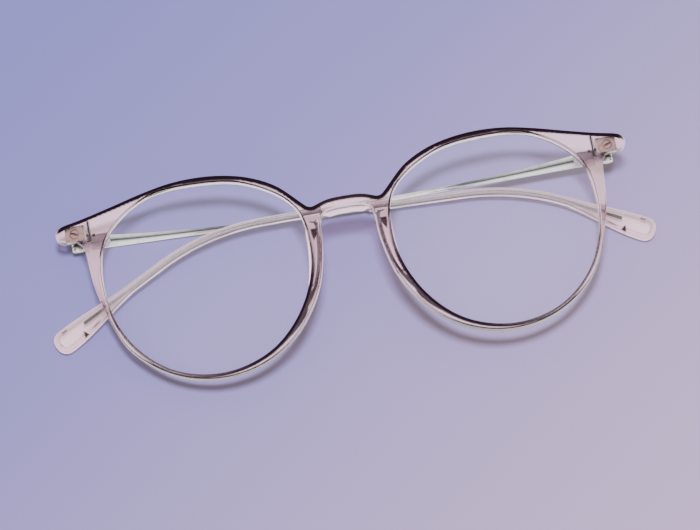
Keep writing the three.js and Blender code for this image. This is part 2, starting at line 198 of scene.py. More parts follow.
def front_loop():
    right = list(HALF_OUTLINE)
    left = [(-x, y) for x, y in HALF_OUTLINE[1:-1]][::-1]
    loop = closed_curve((right + left)[::-1], 12)
    return eased(resampled(loop, OUTLINE_SPACING), 4)


def opening_loop(side):
    angles = np.arange(len(OPENING_RADII)) * 2 * math.pi / len(OPENING_RADII)
    points = [(r * math.cos(a), r * math.sin(a)) for r, a in zip(OPENING_RADII, angles)]
    loop = eased(resampled(closed_curve(points, 24), OUTLINE_SPACING), 6)
    loop = loop + np.array(LENS_CENTRE)
    if side < 0:
        loop = loop[::-1] * (-1, 1)
    return loop


# ---- mesh helpers -------------------------------------------------------------------------------
def add_object(name, mesh, material):
    piece = bpy.data.objects.new(name, mesh)
    bpy.context.scene.collection.objects.link(piece)
    if material is not None:
        mesh.materials.append(material)
    return piece


def piece_from(name, points, faces, matrix, material, sharp=40):
    """A smooth-shaded mesh whose edges over `sharp` degrees stay crisp."""
    mesh = bpy.data.meshes.new(name)
    mesh.from_pydata([matrix @ Vector(p) for p in points], [], [list(f) for f in faces])
    work = bmesh.new()
    work.from_mesh(mesh)
    bmesh.ops.recalc_face_normals(work, faces=work.faces)
    work.to_mesh(mesh)
    work.free()
    mesh.shade_smooth()
    mesh.set_sharp_from_angle(angle=math.radians(sharp))
    return add_object(name, mesh, material)


def paint(piece, name, values):
    """A number for each vertex, which the materials read."""
    layer = piece.data.attributes.new(name, "FLOAT", "POINT")
    layer.data.foreach_set("value", np.asarray(values, np.float32))


def strip(lower, upper):
    """Faces between two closed rings of vertex numbers."""
    count = len(lower)
    for i in range(count):
        j = (i + 1) % count
        yield (lower[i], lower[j], upper[j], upper[i])


# ---- front --------------------------------------------------------------------------------------
EDGE_ROUND = 0.38  # radius of the polished edges
BROW_ROUND = 0.78  # and of the brow's front edge
BACK_ROUND = 0.45
ROUND_STEPS = 6
BRIDGE_FLARE = 1.1
GROOVE_DEPTH = 0.6
GROOVE_HALF = 0.85
GROOVE_MIDDLE = 1.6
GROOVE_PROFILE = ((0, -1), (0.55, -0.3), (1, 0), (0.55, 0.3), (0, 1))  # share of its depth and half height
FLARE_RINGS = ((0.33, 0.4), (0.38, 1), (0.67, 1))  # down the wall under the bridge, and share of the flare
FACE_SPACING = 0.3
FACE_CLEARANCE = 0.2


def rim_depth(points):
    x = np.abs(points[:, 0])
    boss = smoothstep(x, BOSS_X - 0.1, BOSS_X + 0.15) * smoothstep(points[:, 1], BOSS_Y - 0.3, BOSS_Y + 0.3)
    return RIM_DEPTH + BOSS_DEPTH * boss


def edge_round(loop, hole):
    """Radius of the front edge: larger along the top of the brow than elsewhere."""
    if hole:
        return np.full(len(loop), EDGE_ROUND)
    brow = smoothstep(loop[:, 1], 5.5, 10.5) * (1 - smoothstep(np.abs(loop[:, 0]), 66.0, 69.4))
    return EDGE_ROUND + (BROW_ROUND - EDGE_ROUND) * brow


def under_bridge(loop):
    """1 on the stretch of outline below the bridge, which flares towards the back, and 0 elsewhere."""
    near = 1 - smoothstep(np.abs(loop[:, 0]), 4.2, 6.6)
    return near * smoothstep(loop[:, 1], 0.5, 2.4) * (1 - smoothstep(loop[:, 1], 4.0, 4.4))


def rim_rings(loop, hole):
    """Rings of points (x, y, depth) from the front face round the wall to the back face.

    With each ring comes how far it has turned into the wall, from 0 on a face to 1, and past
    the middle of the wall it comes as a negative number.
    """
    normal = into_material(loop, hole)
    depth = rim_depth(loop)
    front = edge_round(loop, hole)
    bridge = np.zeros(len(loop)) if hole else under_bridge(loop)
    rings = []

    def ring(inset, at, turned=1.0):
        points = loop + normal * np.broadcast_to(inset, len(loop))[:, None]
        rings.append((np.column_stack([points, np.broadcast_to(at, len(loop))]), turned))

    def flare(at):
        return bridge * BRIDGE_FLARE * np.clip((at - front) / (depth - BACK_ROUND - front), 0, 1)

    for angle in np.linspace(0, math.pi / 2, ROUND_STEPS + 1):
        ring(front * (1 - math.sin(angle)), front * (1 - math.cos(angle)), math.sin(angle))
    if hole:
        for inset, offset in GROOVE_PROFILE:
            at = GROOVE_MIDDLE + offset * GROOVE_HALF
            ring(inset * GROOVE_DEPTH, at, 1.0 if offset <= 0 else -1.0)
    else:
        for share, flared in FLARE_RINGS:
            at = front + share * (depth - BACK_ROUND - front)
            ring(-flare(at) * flared, at)
    for angle in np.linspace(math.pi / 2, 0, ROUND_STEPS + 1):
        at = depth - BACK_ROUND * (1 - math.cos(angle))
        ring(BACK_ROUND * (1 - math.sin(angle)) - flare(at), at, -math.sin(angle) - 0.001)
    return rings


BRIDGE_PAINTED_SHADE = 0.86  # how strong the brow's painted shade stays over the bridge
SLIM_BROW = ((22.5, 26.5), (38, 42))  # x where the rim becomes slim midway along the brow, and ends to be
WALL_LINE = 0.8  # the fine line of painted shade along the opening's edge, and along the lower outline: least, nasal part
OUTER_LINE = (0.5, 0.3)


def brow_wall(loop):
    """1 along the outline's stretches that face the brow, less over the bridge, and 0 elsewhere."""
    facing = -into_material(loop, False)[:, 1]
    x = np.abs(loop[:, 0])
    strength = BRIDGE_PAINTED_SHADE + (1 - BRIDGE_PAINTED_SHADE) * smoothstep(x, 4.5, 7.5)
    return smoothstep(facing, 0.1, 0.5) * (1 - smoothstep(x, 69.9, 70.9)) * strength


def wall_shade(loop, hole, turn):
    """How much painted shade a ring gets: the walls that face the brow, and a fine line along other edges."""
    facing = -into_material(loop, hole)[:, 1]
    x, y = np.abs(loop[:, 0]), loop[:, 1]
    nasal = smoothstep(LENS_CENTRE[0] - x, -10, 16)
    if hole:
        wall = smoothstep(facing, -0.25 * nasal, 0.4) * (0.7 + 0.3 * nasal)
        sideways = 1 - smoothstep(np.abs(facing), 0.1, 0.3)
        line = smoothstep(-facing, 0.1, 0.5) * WALL_LINE + WALL_LINE * sideways
        # midway along the brow the rim is so slim that its painted shade reaches the opening
        starts, ends = SLIM_BROW
        midway = smoothstep(-facing, 0.75, 0.9) * smoothstep(x, *starts) * (1 - smoothstep(x, *ends))
        wall = np.maximum(wall, 0.9 * midway * (1 - smoothstep(abs(turn), 0.5, 0.8)) * (turn >= 0))
    else:
        wall = brow_wall(loop)
        strength = OUTER_LINE[0] + OUTER_LINE[1] * nasal
        line = smoothstep(-facing, -0.3, 0.3) * strength * smoothstep(-y, 2.0, 5.0)
    if turn >= 0:
        line = line * smoothstep(turn, 0.1, 0.25) * (1 - smoothstep(turn, 0.5, 0.75))
        return np.maximum(wall, line)
    return wall * smoothstep(-turn, 0.0, 0.1)


BROW_BAND = 1.12  # width of the brow's painted shade on the front face
BROW_SWELL = (0.4, 34, 15)  # what is added to it midway, its place along x and its reach
BACK_BAND = (0.42, 0.6)  # and where it fades out on the back face
NOSE_BAND = 0.42
RIM_BAND = (0.5, 0.5)  # width of the painted shade inside the lower rims: least, and what the nasal part adds
CROSSING = (-22.5, 3.6, 0.8)  # where the nasal lines meet: y, reach, and what it adds to the width
NASAL_LINE = (30, -27, -1)  # the line that crosses the nasal rim keeps below this x and between these y
# strengths of painted shade: the nasal line, the wedges and squares, the step behind each end piece and the
# hinge's leaf; BAND_EDGE is the blend at a band's edge
NASAL_PAINTED_SHADE = 0.92
BAND_EDGE = 0.12
MARK_PAINTED_SHADE = 0.95
STEP_PAINTED_SHADE = 0.9
WEB_PAINTED_SHADE = 0.32
PAD_MARK = (8.5, -0.9, 1.0, 3.2)  # the wedge of painted shade above each pad: x, y, half width and length
WEB = ((57.8, 62.7), (4.6, 8.6))  # where painted shade stands in for the hinge's leaf seen through the plastic: x and y
HINGE_MARKS = ((63.5, 8.8, 0.4), (61.8, 8.5, 0.36))  # squares of painted shade beside the anchor, where its openings look dark: x, y, half size


def fade(distance, width):
    """1 closer than the width and 0 beyond it, with a narrow blend."""
    return 1 - smoothstep(distance, width - BAND_EDGE, width + BAND_EDGE)


def front_shade(x, y, gap, inner, brow):
    """The painted shade on the front face, from the distances to the outline and to the opening."""
    added, swell_x, reach = BROW_SWELL
    value = brow * fade(gap, BROW_BAND + added * math.exp(-(((abs(x) - swell_x) / reach) ** 2)))
    nasal = LENS_CENTRE[0] - abs(x)
    facing = (LENS_CENTRE[1] - y) / math.hypot(nasal, y - LENS_CENTRE[1])
    side = smoothstep(nasal, -12, 12)
    low = smoothstep(facing, 0.05 - 0.3 * side, 0.5 - 0.3 * side) * (0.8 + 0.14 * side)
    swell = CROSSING[2] * math.exp(-(((y - CROSSING[0]) / CROSSING[1]) ** 2)) * smoothstep(nasal, 0, 8)
    value = max(value, low * fade(inner, RIM_BAND[0] + RIM_BAND[1] * smoothstep(nasal, -18, 2) + swell))
    most_x, low_y, high_y = NASAL_LINE
    # painted shade: a dark line across the nasal rim
    if abs(x) < most_x and low_y < y < high_y:
        across = gap / (gap + inner)
        track = 0.2 + 0.6 * smoothstep(-y, 9, 27)
        width = NOSE_BAND * (0.6 + 0.9 * smoothstep(-y, 8, 18)) / (gap + inner)
        band = 1 - smoothstep(abs(across - track), width * 0.5, width)
        value = max(value, NASAL_PAINTED_SHADE * band * smoothstep(-y, 2.0, 3.5))
    # painted shade: a dark wedge above each pad
    mark_x, mark_y, half, length = PAD_MARK
    down = (mark_y - y) / length
    if 0 < down < 1 and abs(abs(x) - mark_x - 0.5 * down) < half * (1 - down):
        value = MARK_PAINTED_SHADE
    return value


def back_shade(x, y, gap, brow):
    """The painted shade on the back face: under the brow, and round each hinge."""
    value = brow * (1 - smoothstep(gap, *BACK_BAND))
    # painted shade along the step behind each end piece, over the hinge's leaf and in squares beside the
    # anchor
    if abs(abs(x) - BOSS_X) < 0.2 and y > BOSS_Y:
        value = STEP_PAINTED_SHADE
    (left, right), (low, high) = WEB
    if left < abs(x) < right and low < y < high:
        value = max(value, WEB_PAINTED_SHADE)
    for mark_x, mark_y, half in HINGE_MARKS:
        if max(abs(abs(x) - mark_x), abs(y - mark_y)) < half:
            value = MARK_PAINTED_SHADE
    return value


def face_shade(grid, rings, is_back):
    """The painted shade on one face, for each point of its grid."""
    outer = rings[0]
    holes = np.vstack(rings[1:])
    brow = brow_wall(outer)
    rounding = np.full(len(outer), BACK_ROUND) if is_back else edge_round(outer, False)
    values = []
    for x, y in grid:
        gaps = np.hypot(outer[:, 0] - x, outer[:, 1] - y)
        near = int(np.argmin(gaps))
        gap = gaps[near] + rounding[near]
        inner = np.min(np.hypot(holes[:, 0] - x, holes[:, 1] - y)) + EDGE_ROUND
        value = back_shade(x, y, gap, brow[near]) if is_back else front_shade(x, y, gap, inner, brow[near])
        values.append(float(value))
    return np.array(values)


def inside(points, loop):
    """Which of the points lie inside the closed loop."""
    x, y = points[:, 0][:, None], points[:, 1][:, None]
    x0, y0 = loop[:, 0], loop[:, 1]
    x1, y1 = np.roll(x0, -1), np.roll(y0, -1)
    spans = (y0 > y) != (y1 > y)
    with np.errstate(divide="ignore", invalid="ignore"):
        crossing = x < (x1 - x0) * (y - y0) / (y1 - y0) + x0
    return (spans & crossing).sum(axis=1) % 2 == 1


def inner_grid(loops, spacing, clearance):
    """Points of a staggered grid inside the first loop, outside the others and clear of all.

    It is finer along the step behind each end piece and round the squares of painted shade beside each hinge.
    """
    low, high = loops[0].min(axis=0), loops[0].max(axis=0)
    rows = []
    for k, y in enumerate(np.arange(low[1], high[1], spacing * 0.87)):
        x = np.arange(low[0] + (k % 2) * spacing / 2, high[0], spacing)
        rows.append(np.column_stack([x, np.full(len(x), y)]))
    step = []
    for x in (BOSS_X - 0.12, BOSS_X + 0.03, BOSS_X + 0.17):
        y = np.arange(BOSS_Y - 0.5, 14, 0.3)
        step += [np.column_stack([np.full(len(y), s * x), y]) for s in (1, -1)]
    grid = np.vstack(rows)
    near_step = (np.abs(np.abs(grid[:, 0]) - BOSS_X) < 0.45) & (grid[:, 1] > BOSS_Y - 0.6)
    grid = np.vstack([grid[~near_step]] + step)
    for x, y, half in HINGE_MARKS:
        close = (np.abs(np.abs(grid[:, 0]) - x) < half + 0.2) & (np.abs(grid[:, 1] - y) < half + 0.2)
        fine = np.arange(-half - 0.1, half + 0.11, 0.12)
        patch = np.stack(np.meshgrid(x + fine, y + fine), axis=-1).reshape(-1, 2)
        grid = np.vstack([grid[~close], patch, patch * (-1, 1)])
    keep = inside(grid, loops[0])
    for loop in loops[1:]:
        keep &= ~inside(grid, loop)
    grid = grid[keep]
    edge = np.vstack(loops)
    gap = np.array([np.min(np.hypot(*(edge - p).T)) for p in grid])
    return grid[gap > clearance]


def face_triangles(loops, grid):
    """Triangles that fill the first loop round the others, over the loops' points and the grid's."""
    points = [Vector(p) for p in np.vstack(loops + [grid])]
    edges = []
    start = 0
    for loop in loops:
        edges += [(start + i, start + (i + 1) % len(loop)) for i in range(len(loop))]
        start += len(loop)
    found, _, triangles, originals, _, _ = delaunay_2d_cdt(points, edges, [], 4, 1e-6)
    if len(found) != len(points):
        raise ValueError("the rings of the front cross each other")
    number = [sources[0] for sources in originals]
    faces = np.array([[number[i] for i in triangle] for triangle in triangles])
    middles = np.array(points)[faces].mean(axis=1)
    keep = inside(middles, loops[0])
    for loop in loops[1:]:
        keep &= ~inside(middles, loop)
    return [tuple(face) for face in faces[keep].tolist()]


def build_front(material):
    loops = [(front_loop(), False), (opening_loop(1), True), (opening_loop(-1), True)]
    points, faces = [], []
    first, last = [], []
    shade, turned = [], []
    for loop, hole in loops:
        numbers = []
        for ring, turn in rim_rings(loop, hole):
            numbers.append(range(len(points), len(points) + len(ring)))
            points += list(ring)
            shade += list(wall_shade(loop, hole, turn))
            turned += [min(1.0, abs(turn))] * len(ring)
        for lower, upper in zip(numbers, numbers[1:]):
            faces += strip(lower, upper)
        first.append(numbers[0])
        last.append(numbers[-1])
    for numbers, is_back in ((first, False), (last, True)):
        rings = [np.array([points[i][:2] for i in ring]) for ring in numbers]
        grid = inner_grid(rings, FACE_SPACING, FACE_CLEARANCE)
        depth = rim_depth(grid) if is_back else np.zeros(len(grid))
        index = [i for ring in numbers for i in ring] + list(range(len(points), len(points) + len(grid)))
        points += list(np.column_stack([grid, depth]))
        shade += list(face_shade(grid, rings, is_back))
        turned += [0.0] * len(grid)
        faces += [tuple(index[i] for i in triangle) for triangle in face_triangles(rings, grid)]
    bent = [(x, y, -depth - wrap_depth(x)) for x, y, depth in points]
    piece = piece_from("clear_front", bent, faces, FRONT, material, sharp=50)
    paint(piece, "shade", shade)
    paint(piece, "turned", turned)
    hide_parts("front_frame")
    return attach(piece, "front")


# ---- lenses -------------------------------------------------------------------------------------
def build_lens(side, material):
    """A domed disc drawn out to the opening's outline, with a ground bevel that sits in the groove."""
    loop = opening_loop(1)
    centre = np.array(LENS_CENTRE)
    reach = loop - centre
    length = np.linalg.norm(reach, axis=1)[:, None]
    half = LENS_THICKNESS / 2
    shares = np.sqrt(np.linspace(0.02, 0.93, LENS_RINGS))
    points, faces = [], []

    def ring(share, offset, lap):
        at = reach * share if lap is None else reach / length * (length + lap)
        radius = share if lap is None else 1.0
        x, y = (centre + at).T
        z = -LENS_MID_DEPTH + LENS_BULGE * (1 - radius**2) + offset - wrap_depth(x)
        start = len(points)
        points.extend(np.column_stack([x, y, z]))
        return range(start, len(points))

    upper = [ring(share, half, None) for share in shares]
    shoulder, crest = LENS_BEVEL
    profile = ((half * shoulder, -crest), (crest, LENS_LAP), (-crest, LENS_LAP), (-half * shoulder, -crest))
    bevel = [ring(1, offset, lap) for offset, lap in profile]
    lower = [ring(share, -half, None) for share in shares[::-1]]
    rings = upper + bevel + lower
    for near, far in zip(rings, rings[1:]):
        faces += strip(near, far)
    for ends, offset in ((upper[0], half), (lower[-1], -half)):
        x, y = centre
        middle = len(points)
        points.append((x, y, -LENS_MID_DEPTH + LENS_BULGE + offset - wrap_depth(x)))
        faces += [(ends[i], ends[(i + 1) % len(ends)], middle) for i in range(len(ends))]
    piece = piece_from(f"{side}_clear_lens", points, faces, half_matrix(side), material, sharp=30)
    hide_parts(f"{side}_lens")
    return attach(piece, "front")


# ---- nose pads ----------------------------------------------------------------------------------
PAD_OUTLINE = (
    (7.3, 1.6), (7.25, -2.5), (7.6, -6.0), (8.2, -8.9), (9.0, -11.8), (10.2, -14.1), (11.3, -13.9),
    (10.8, -11.2), (10.2, -7.6), (9.9, -3.8), (9.75, 0.4), (9.4, 1.7), (8.4, 1.9),
)
PAD_ROUND = 0.45
PAD_CROWN = 0.3
PAD_SPACING = 0.25
PAD_GRID = (0.4, 0.12)  # spacing of the points on its faces, and how far they keep from the edge


def build_pad(side, material):
    """A pad that leans outwards towards its back, so that its inner flank lies along the nose."""
    loop = eased(resampled(closed_curve(PAD_OUTLINE, 10), PAD_SPACING), 4)
    twice_area = np.sum(loop[:, 0] * np.roll(loop[:, 1], -1) - np.roll(loop[:, 0], -1) * loop[:, 1])
    if twice_area < 0:
        loop = loop[::-1]
    normal = into_material(loop, False)
    shoulder = PAD_DEPTH - PAD_CROWN
    points, faces, rings = [], [], []
    levels = [(0.1, 0.0), (0.0, 0.1)] + [(0.0, share * (shoulder - PAD_ROUND)) for share in (0.3, 0.6, 0.9)]
    for angle in np.linspace(0, math.pi / 2, 7):
        levels.append((PAD_ROUND * (1 - math.cos(angle)), shoulder - PAD_ROUND * (1 - math.sin(angle))))
    for inset, depth in levels:
        rings.append(range(len(points), len(points) + len(loop)))
        points += [(*at, depth) for at in loop + normal * inset]
    for near, far in zip(rings, rings[1:]):
        faces += strip(near, far)
    for ring, crown in ((rings[0], 0), (rings[-1], PAD_CROWN)):
        flat = np.array([points[i][:2] for i in ring])
        grid = inner_grid([flat], *PAD_GRID)
        gap = np.array([np.min(np.hypot(*(flat - p).T)) for p in grid])
        rise = points[ring[0]][2] + crown * (1 - (1 - smoothstep(gap, -0.3, 0.8)) ** 2)
        index = list(ring) + list(range(len(points), len(points) + len(grid)))
        points += list(np.column_stack([grid, rise]))
        faces += [tuple(index[i] for i in triangle) for triangle in face_triangles([flat], grid)]
    points = [(x + depth * PAD_LEAN, y, depth) for x, y, depth in points]
    points = [(x, y, -RIM_DEPTH - PAD_GAP - depth - wrap_depth(x)) for x, y, depth in points]
    piece = piece_from(f"{side}_clear_nose_pad", points, faces, half_matrix(side), material)
    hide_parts(f"{side}_nose_pad")
    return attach(piece, "front")


# ---- temples ------------------------------------------------------------------------------------
def temple_axis(side):
    """Dense points of the wire's axis, drawn folded, and their distances from the hinge."""
    _, droop, bend_at, bend_turn, tip_length = TEMPLES[side]
    before = math.radians(droop)
    after = math.radians(droop + bend_turn)
    toward = [np.array((-math.cos(a), -math.sin(a))) for a in (before, after)]
    corner = np.array((HINGE_X, WIRE_Y)) + toward[0] * bend_at
    start = corner - toward[0] * BEND_REACH
    end = corner + toward[1] * BEND_REACH
    t = np.linspace(0, 1, 200)[:, None]
    bend = start * (1 - t) ** 2 + 2 * corner * t * (1 - t) + end * t**2
    points = np.vstack([[(HINGE_X, WIRE_Y)], bend, [corner + toward[1] * tip_length]])
    distances = np.concatenate([[0], np.cumsum(np.linalg.norm(np.diff(points, axis=0), axis=1))])
    return points, distances


def along_axis(axis, distances):
    """Points and unit normals (towards the temple's upper edge) at distances from the hinge."""
    points, marks = axis
    at, ahead = (
        np.column_stack([np.interp(d, marks, points[:, k]) for k in (0, 1)])
        for d in (np.asarray(distances, float) - 0.3, np.asarray(distances, float) + 0.3)
    )
    tangent = (ahead - at) / np.linalg.norm(ahead - at, axis=1)[:, None]
    middle = np.column_stack([np.interp(distances, marks, points[:, k]) for k in (0, 1)])
    return middle, np.column_stack([tangent[:, 1], -tangent[:, 0]])


SLEEVE_ROUND = 0.98
MOUTH_ROUND = 0.3
SLEEVE_STATIONS = 170
SLEEVE_COLUMNS = 26
PADDLE_HOLLOW = 0.28
SUPERELLIPSE = 2.3
# Painted shade on the sleeve: strength, distance from an edge in mm, and half width.
LOWER_LINE = (0.85, 0.34, 0.11)
PADDLE_BEVEL = (0.26, 1.25, 0.18)
CORE_SHADE = (0.34, 0.48, 0.15)  # this one lies at a share of the width
# And on the paddle, with the distance from the tip and half length too.
STREAK = (0.95, 0.8, 0.22, 11, 1.6)
DASH = (0.9, 0.95, 0.2, 3.9, 0.7)
WEDGE = (0.95, 7.6, 0.38, 2.1, 0.35)  # strength, distance from the tip, slope, height and foot


def bell(offset, width):
    """A smooth bump: 1 where the offset is 0."""
    return np.exp(-((offset / width) ** 2))


def build_sleeve(side, material):
    """The sleeve as two facing skins whose height falls off in a round towards the outline."""
    axis = temple_axis(side)
    length = axis[1][-1]
    flare_from = length - PADDLE_LENGTH - PADDLE_END
    even = np.linspace(SLEEVE_START, length - PADDLE_END, SLEEVE_STATIONS)
    mouth = SLEEVE_START + np.array([0.05, 0.12, 0.22, 0.35])
    tip = length - PADDLE_END + PADDLE_END * np.sin(np.linspace(0, math.pi / 2, 22))
    paddle = np.arange(length - 14, length - PADDLE_END, 0.2)
    distances = np.unique(np.concatenate([even, mouth, paddle, tip]))
    middle, normal = along_axis(axis, distances)
    # beyond the straight part the paddle's outline closes in a superellipse
    closing = np.clip((distances - (length - PADDLE_END)) / PADDLE_END, 0, 1)
    narrowing = (1 - closing**SUPERELLIPSE) ** (1 / SUPERELLIPSE)
    flare = smoothstep(distances, flare_from, length - PADDLE_END)
    slim = SLEEVE_HALF[0] + (SLEEVE_HALF[1] - SLEEVE_HALF[0]) * smoothstep(distances, SLEEVE_START, length)
    above = slim + PADDLE_FLARE[0] * flare
    below = slim + PADDLE_FLARE[1] * flare
    centre = (above - below) / 2
    half = (above + below) / 2 * narrowing
    upper = middle + normal * (centre + half)[:, None]
    lower = middle + normal * (centre - half)[:, None]
    outline = np.vstack([upper, lower[::-1]])
    across = (1 - np.cos(np.linspace(0, math.pi, SLEEVE_COLUMNS + 1))) / 2
    plan = lower[:, None] + (upper - lower)[:, None] * across[None, :, None]
    edges = np.stack([outline, np.roll(outline, -1, axis=0)], axis=1)
    gap = np.array([[distance_to(edges, p) for p in row] for row in plan])
    from_mouth = (distances - distances[0]) * SLEEVE_ROUND / MOUTH_ROUND
    gap = np.minimum(gap, from_mouth[:, None])
    fall = SLEEVE_ROUND - np.clip(gap, 0, SLEEVE_ROUND)
    height = SLEEVE_THICKNESS / 2 - SLEEVE_ROUND + np.sqrt(SLEEVE_ROUND**2 - fall**2)
    height -= PADDLE_HOLLOW * smoothstep(gap, 1.1, 1.4) * flare[:, None]
    rows, columns = plan.shape[:2]
    points = []
    for sign in (1, -1):
        for i in range(rows):
            for j in range(columns):
                points.append((*plan[i, j], BAR_Z + sign * height[i, j]))

    def number(skin, i, j):
        return (skin * rows + i) * columns + j

    faces = []
    for skin in (0, 1):
        for i in range(rows - 1):
            for j in range(columns - 1):
                corners = [(i, j), (i + 1, j), (i + 1, j + 1), (i, j + 1)]
                faces.append([number(skin, *corner) for corner in corners])
    rim = [(i, 0) for i in range(rows)] + [(rows - 1, j) for j in range(1, columns)]
    rim += [(i, columns - 1) for i in range(rows - 2, -1, -1)] + [(0, j) for j in range(columns - 2, 0, -1)]
    faces += strip([number(0, *c) for c in rim], [number(1, *c) for c in rim])
    piece = piece_from(f"{side}_clear_tip_sleeve", points, faces, temple_matrix(side), material)
    # painted shade: a fine dark line a little above the lower edge, on the skin that faces the front
    from_lower, from_upper = plan_gap(plan, lower), plan_gap(plan, upper)
    strength, place, width = LOWER_LINE
    line = strength * bell(from_lower - place, width) * (1 - 0.8 * flare[:, None])
    # painted shade along the crease of the paddle's bevel
    strength, place, width = PADDLE_BEVEL
    bevel = strength * bell(gap - place, width) * flare[:, None]
    # painted shade dims the middle of the sleeve over the core, and the core ends in the paddle beside three
    # small dark marks of painted shade
    strength, place, width = CORE_SHADE
    dimmed = strength * bell(across[None, :] - place, width) * (1 - flare[:, None])
    before_tip = (length - distances)[:, None]
    strength, place, width, back, reach = STREAK
    streak = strength * bell(from_lower - place, width) * bell(before_tip - back, reach)
    strength, back, slope, height_above, foot = WEDGE
    wedge = strength * (np.abs(before_tip - back) < slope * (height_above - from_lower)) * (from_lower > foot)
    strength, place, width, back, reach = DASH
    dash = strength * bell(from_upper - place, width) * (np.abs(before_tip - back) < reach)
    marks = np.maximum(np.maximum(streak, wedge), dash)
    front_skin = np.maximum(np.maximum(line, bevel), np.maximum(dimmed, marks)).ravel()
    paint(piece, "shade", np.concatenate([front_skin, np.zeros(line.size)]))
    paint(piece, "turned", np.tile((fall / SLEEVE_ROUND).ravel() * 0.6, 2))
    merge_close(piece)
    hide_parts(f"{side}_tip_sleeve")
    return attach(piece, f"temple_{side}")


def plan_gap(plan, edge):
    """How far each point of the plan is from the edge's point at its own station."""
    return np.linalg.norm(plan - edge[:, None], axis=2)


def distance_to(edges, point):
    """Least distance from the point to the line segments."""
    start, along = edges[:, 0], edges[:, 1] - edges[:, 0]
    span = np.maximum((along**2).sum(axis=1), 1e-12)
    share = np.clip(((point - start) * along).sum(axis=1) / span, 0, 1)
    return np.min(np.linalg.norm(point - start - along * share[:, None], axis=1))


def merge_close(piece, distance=2e-6):
    work = bmesh.new()
    work.from_mesh(piece.data)
    bmesh.ops.remove_doubles(work, verts=work.verts, dist=distance)
    bmesh.ops.dissolve_degenerate(work, edges=work.edges, dist=distance / 2)
    bmesh.ops.recalc_face_normals(work, faces=work.faces)
    work.to_mesh(piece.data)
    work.free()


# Section of the blade in half heights and half thicknesses: flat outside, and inside two facets
# that meet at a fine groove. The second list is the same section where it has become round wire.
GROOVE_LINE = 0.085
BLADE_SECTION = (
    (-1.0, -0.75), (-0.93, -1.0), (0.0, -1.0), (0.93, -1.0), (1.0, -0.75), (1.0, 0.1), (0.95, 0.32),
    (0.5, 0.66), (GROOVE_LINE, 1.0), (0.0, 0.35), (-GROOVE_LINE, 1.0), (-0.5, 0.66), (-0.95, 0.32),
    (-1.0, 0.1),
)
WIRE_ANGLES = (-155, -128, -90, -52, -25, 0, 22, 48, 80, 90, 100, 132, 158, 180)


def build_bar(side, material):
    axis = temple_axis(side)
    slope = math.tan(math.radians(TEMPLES[side][1]))
    bottom_at_hinge = WIRE_Y - WIRE_SIZE / 2

    def bottom(distance):
        return bottom_at_hinge - slope * distance

    top = bottom_at_hinge + BLADE_HEIGHT
    wire_top = bottom(BLADE_LENGTH) + WIRE_SIZE
    along, above = BLADE_CURVE
    t = np.linspace(0, 1, 40)[:, None]
    first, control, last = np.array([(BLADE_FULL, top), (along, wire_top + above), (BLADE_LENGTH, wire_top)])
    curve = first * (1 - t) ** 2 + 2 * control * (t * (1 - t)) + last * t**2
    butt = -BAR_END + np.array([0.0, 0.08, 0.2])
    distances = np.concatenate([butt, [0, 2.5], curve[:, 0], np.linspace(44, SLEEVE_START - 0.1, 16)])
    tops = np.interp(distances, curve[:, 0], curve[:, 1])
    tops = np.where(distances > BLADE_LENGTH, bottom(distances) + WIRE_SIZE, tops)
    lows = bottom(distances)
    round_share = smoothstep(distances, 30, 44)
    ease_end = np.array([0.82, 0.95, 1.0] + [1.0] * (len(distances) - 3))
    section = np.array(BLADE_SECTION)
    wire = np.array([(math.cos(math.radians(a)), math.sin(math.radians(a))) for a in WIRE_ANGLES])
    points, faces, rings = [], [], []
    for distance, low, high, share, ease in zip(distances, lows, tops, round_share, ease_end):
        shape = (section * (1 - share) + wire * share) * ease
        rings.append(range(len(points), len(points) + len(shape)))
        middle, half = (low + high) / 2, (high - low) / 2
        thick = BAR_THICKNESS / 2
        points += [(HINGE_X - distance, middle + half * h, BAR_Z + thick * z) for h, z in shape]
    core_from = SLEEVE_START - 0.1
    stations = np.linspace(core_from, axis[1][-1] - CORE_END_BEFORE_TIP, 90)
    middles, normals = along_axis(axis, stations)
    for k, (middle, normal) in enumerate(zip(middles, normals)):
        radius = CORE_RADIUS * (1.3 if k == 0 else 1.0)
        rings.append(range(len(points), len(points) + len(wire)))
        points += [(*(middle + normal * radius * h), BAR_Z + radius * z) for h, z in wire]
    for shrink, ahead in ((0.75, 0.12), (0.35, 0.2)):
        rings.append(range(len(points), len(points) + len(wire)))
        middle, normal = middles[-1], normals[-1]
        radius = CORE_RADIUS * shrink
        forward = np.array((-normal[1], normal[0]))
        if np.dot(forward, middles[-1] - middles[-2]) < 0:
            forward = -forward
        points += [
            (*(middle + forward * ahead + normal * radius * h), BAR_Z + radius * z)
            for h, z in wire
        ]
    for near, far in zip(rings, rings[1:]):
        faces += strip(near, far)
    faces += [tuple(rings[0]), tuple(rings[-1])]
    shade = np.zeros(len(points))
    # painted shade: the fine groove between the blade's inner facets and its lower edge are darkened, the
    # groove less towards the wire
    for ring, distance in zip(rings, distances):
        if distance < BLADE_LENGTH:
            shade[list(ring)[8:11]] = 0.9 * (1 - smoothstep(distance, 34, BLADE_LENGTH))
            shade[list(ring)[0:2]] = 0.55
    # painted shade on the core's lower side, and darker towards the core's end inside the sleeve
    underside = 0.6 * smoothstep(-wire[:, 0], -0.1, 0.5)
    for ring, station in zip(rings[len(distances):], stations):
        near_end = 0.85 * smoothstep(station, stations[-1] - 10, stations[-1] - 3)
        shade[list(ring)] = np.maximum(underside, near_end)
    piece = piece_from(f"{side}_silver_temple", points, faces, temple_matrix(side), material, sharp=28)
    paint(piece, "shade", shade)
    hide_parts(f"{side}_temple_bar")
    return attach(piece, f"temple_{side}")


# ---- hinges -------------------------------------------------------------------------------------
HINGE_BEVEL = 0.09


